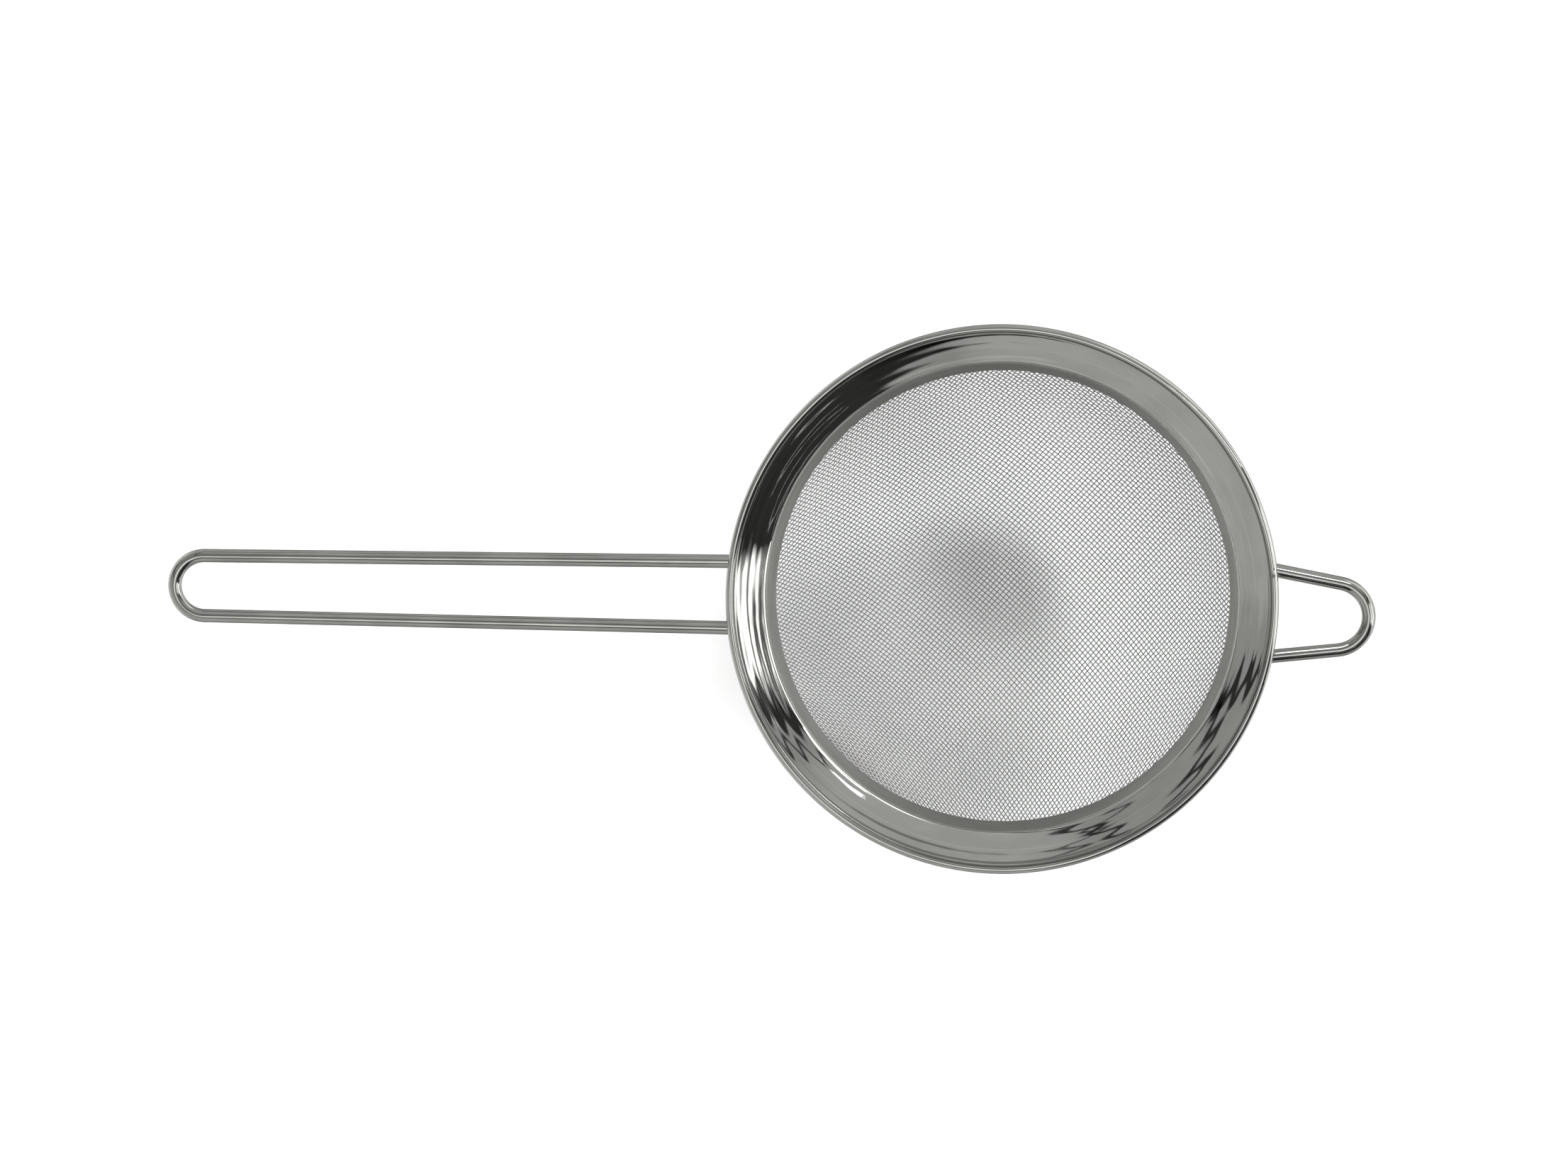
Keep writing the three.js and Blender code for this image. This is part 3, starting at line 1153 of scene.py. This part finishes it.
    def surroundings(self) -> None:
        """Paints a room of soft panels and dark gaps for the steel to mirror."""
        world = bpy.data.worlds.new("studio_room")
        bpy.context.scene.world = world
        world.use_nodes = True
        graph = Graph(world.node_tree)
        x, y, z = graph.split(graph.node("ShaderNodeTexCoord", output="Generated"))
        rise = z.arcsine() * math.degrees(1.0)
        facing = y.angle_from(x) * math.degrees(1.0)
        walls = self.walls(rise, facing)
        gap = facing.band(-110.0, -70.0, 12.0) * rise.band(47.0, 60.0, 2.0)
        lean = self.ceiling_lean
        ceiling = (z * math.cos(lean) - y * math.sin(lean)).ramp(0.955, 0.985)
        sky = rise.ramp(56.0, 62.0)
        light = walls * (1.0 - sky) + sky * self.sky_glow
        light = light * (1.0 - gap * 0.85) + ceiling * self.ceiling_glow
        floor = rise.ramp(-3.0, 5.0)
        ground = 0.3 + x.size().ramp(0.35, 0.8) * 0.4
        table = facing.band(20.0, 140.0, 15.0) * rise.band(-22.0, -4.0, 3.0)
        skyline = (0.05 + facing.band(-26.0, 70.0, 7.0)) * rise.band(5.0, 15.0, 1.5)
        light = light * floor + (1.0 - floor) * ground
        light = light + table * self.table_glow + skyline * self.skyline_glow
        inputs = {"Color": (1.0, 1.0, 0.985, 1.0), "Strength": light}
        glow = graph.node("ShaderNodeBackground", inputs=inputs)
        graph.node("ShaderNodeOutputWorld", inputs={"Surface": glow})

    def walls(self, rise: Value, facing: Value) -> Value:
        """Paints the room's walls with a window, a dark corner and dark bars.

        Args:
            rise: Degrees above the horizon.
            facing: Degrees round from +X.

        Returns:
            How bright the walls are.
        """
        left = facing.band(-172.0, -84.0, 5.0)
        back = facing.band(38.0, 110.0, 8.0)
        flame = ((rise - 50.0) * (math.tau / 17.0)).cosine()
        window = (facing + flame * 7.0).band(-17.0, 18.0, 2.5)
        panes = rise.band(44.0, 56.0, 2.0) + rise.band(28.0, 37.0, 2.0) + rise.band(10.0, 21.0, 2.0)
        corner = (facing + (rise - 30.0) * 0.6).ramp(-78.0, -68.0) * facing.ramp(-20.0, -15.0, 1.0, 0.0)
        light = self.wall_glow + (left + back) * self.side_glow
        light = light * (1.0 - window) + window * (self.frame_glow + panes * self.pane_glow)
        light = light * (1.0 - corner * 0.92)
        for middle, half, lean in self.room_bars:
            bar = (facing + (rise - 35.0) * lean).band(middle - half, middle + half, 1.0)
            light = light * (1.0 - bar * 0.9)
        return light

    def camera(self) -> None:
        """Sets the camera over the rim at the photograph's angle, distance and framing."""
        s = self.section
        target = Vector((s.axis.x, 0.0, s.top))
        back = Vector((
            math.sin(self.tilt) * math.cos(self.bearing),
            math.sin(self.tilt) * math.sin(self.bearing),
            math.cos(self.tilt),
        ))
        right = Vector((math.cos(self.roll), math.sin(self.roll), 0.0))
        right = (right - back * right.dot(back)).normalized()
        facing = Matrix((right, back.cross(right), back)).transposed()
        pixel_x = self.rim_pixel_x - PHOTO_WIDTH / 2
        pixel_y = PHOTO_HEIGHT / 2 - self.rim_pixel_y
        pixel = Vector((pixel_x, pixel_y, -self.focal))
        aim = pixel.rotation_difference(Vector((0.0, 0.0, -1.0))).to_matrix()
        Bench.clear()
        bpy.ops.object.camera_add()
        eye = bpy.context.object
        eye.name = "photo_camera"
        eye.matrix_world = Matrix.Translation(target + back * self.distance) @ (facing @ aim).to_4x4()
        eye.data.sensor_width = self.sensor
        eye.data.lens = self.focal / PHOTO_WIDTH * self.sensor
        bpy.context.scene.camera = eye

    def build(self) -> None:
        """Sets up the whole studio."""
        self.camera()
        self.floor()
        self.backdrop()
        for card in self.cards:
            self.card(*card)
        for light in self.suns:
            self.sun(*light)
        self.sun(*self.wire_light)
        self.surroundings()
        bpy.context.scene.view_settings.view_transform = "Standard"


def wire_nodes(family: str, first: int, last: int) -> list[str]:
    """Names the frame's strands of one family.

    Args:
        family: Warp or weft.
        first: The first strand's number.
        last: The last strand's number.

    Returns:
        The nodes' names.
    """
    return [f"{family}_wire_{number:02d}" for number in range(first, last + 1)]


def main() -> None:
    """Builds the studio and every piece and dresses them."""
    logging.basicConfig(level=logging.INFO, format="%(name)s: %(message)s")
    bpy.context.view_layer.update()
    section = RimSection()
    studio = Studio(section)
    studio.build()

    rim = RimBand(section)
    Bench.finish(rim.build(), POLISHED_SHEET.material(rim.pattern), Slot.POLISHED, ["rim_band"])
    ring = ClampRing(section)
    Bench.finish(ring.build(), SATIN_SHEET.material(ring.pattern), Slot.SATIN, ["mesh_clamp_ring"])

    handle = Hairpin(
        "handle_wire_fine", "handle_wire", section,
        bearing=math.pi,
        end_radius=8.85 * MM,
        leg_spacing=19.5 * MM,
        reach=section.axis.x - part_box("handle_wire")[0][0],
    )
    loop = Hairpin(
        "rest_loop_fine", "rest_loop_wire", section,
        bearing=math.radians(-2),
        end_radius=9.8 * MM,
        leg_spacing=25.9 * MM,
        reach=108.0 * MM,
    )
    drawn = DRAWN_WIRE.material(handle.pattern)
    for wire in (handle, loop):
        Bench.finish(wire.build(), drawn, Slot.DRAWN, [wire.node])

    cloth = WovenBowl(section)
    woven = WOVEN_WIRE.material(cloth.pattern)
    reach = 2 * cloth.rows
    fine_wires = []
    for family, is_warp in (("warp", True), ("weft", False)):
        split = 0 if is_warp else -int(cloth.bow / cloth.pitch)
        shares = (
            ("lower", range(-reach, split), wire_nodes(family, 1, MIDDLE_STRAND)),
            ("upper", range(split, reach + 1), wire_nodes(family, MIDDLE_STRAND + 1, FRAME_STRANDS)),
        )
        for share, rows, nodes in shares:
            piece = cloth.build(f"{family}_cloth_{share}", is_warp, rows)
            Bench.finish(piece, woven, Slot.WOVEN, nodes)
            fine_wires.append(piece)
    studio.light_wires(fine_wires)


if __name__ == "__main__":
    main()
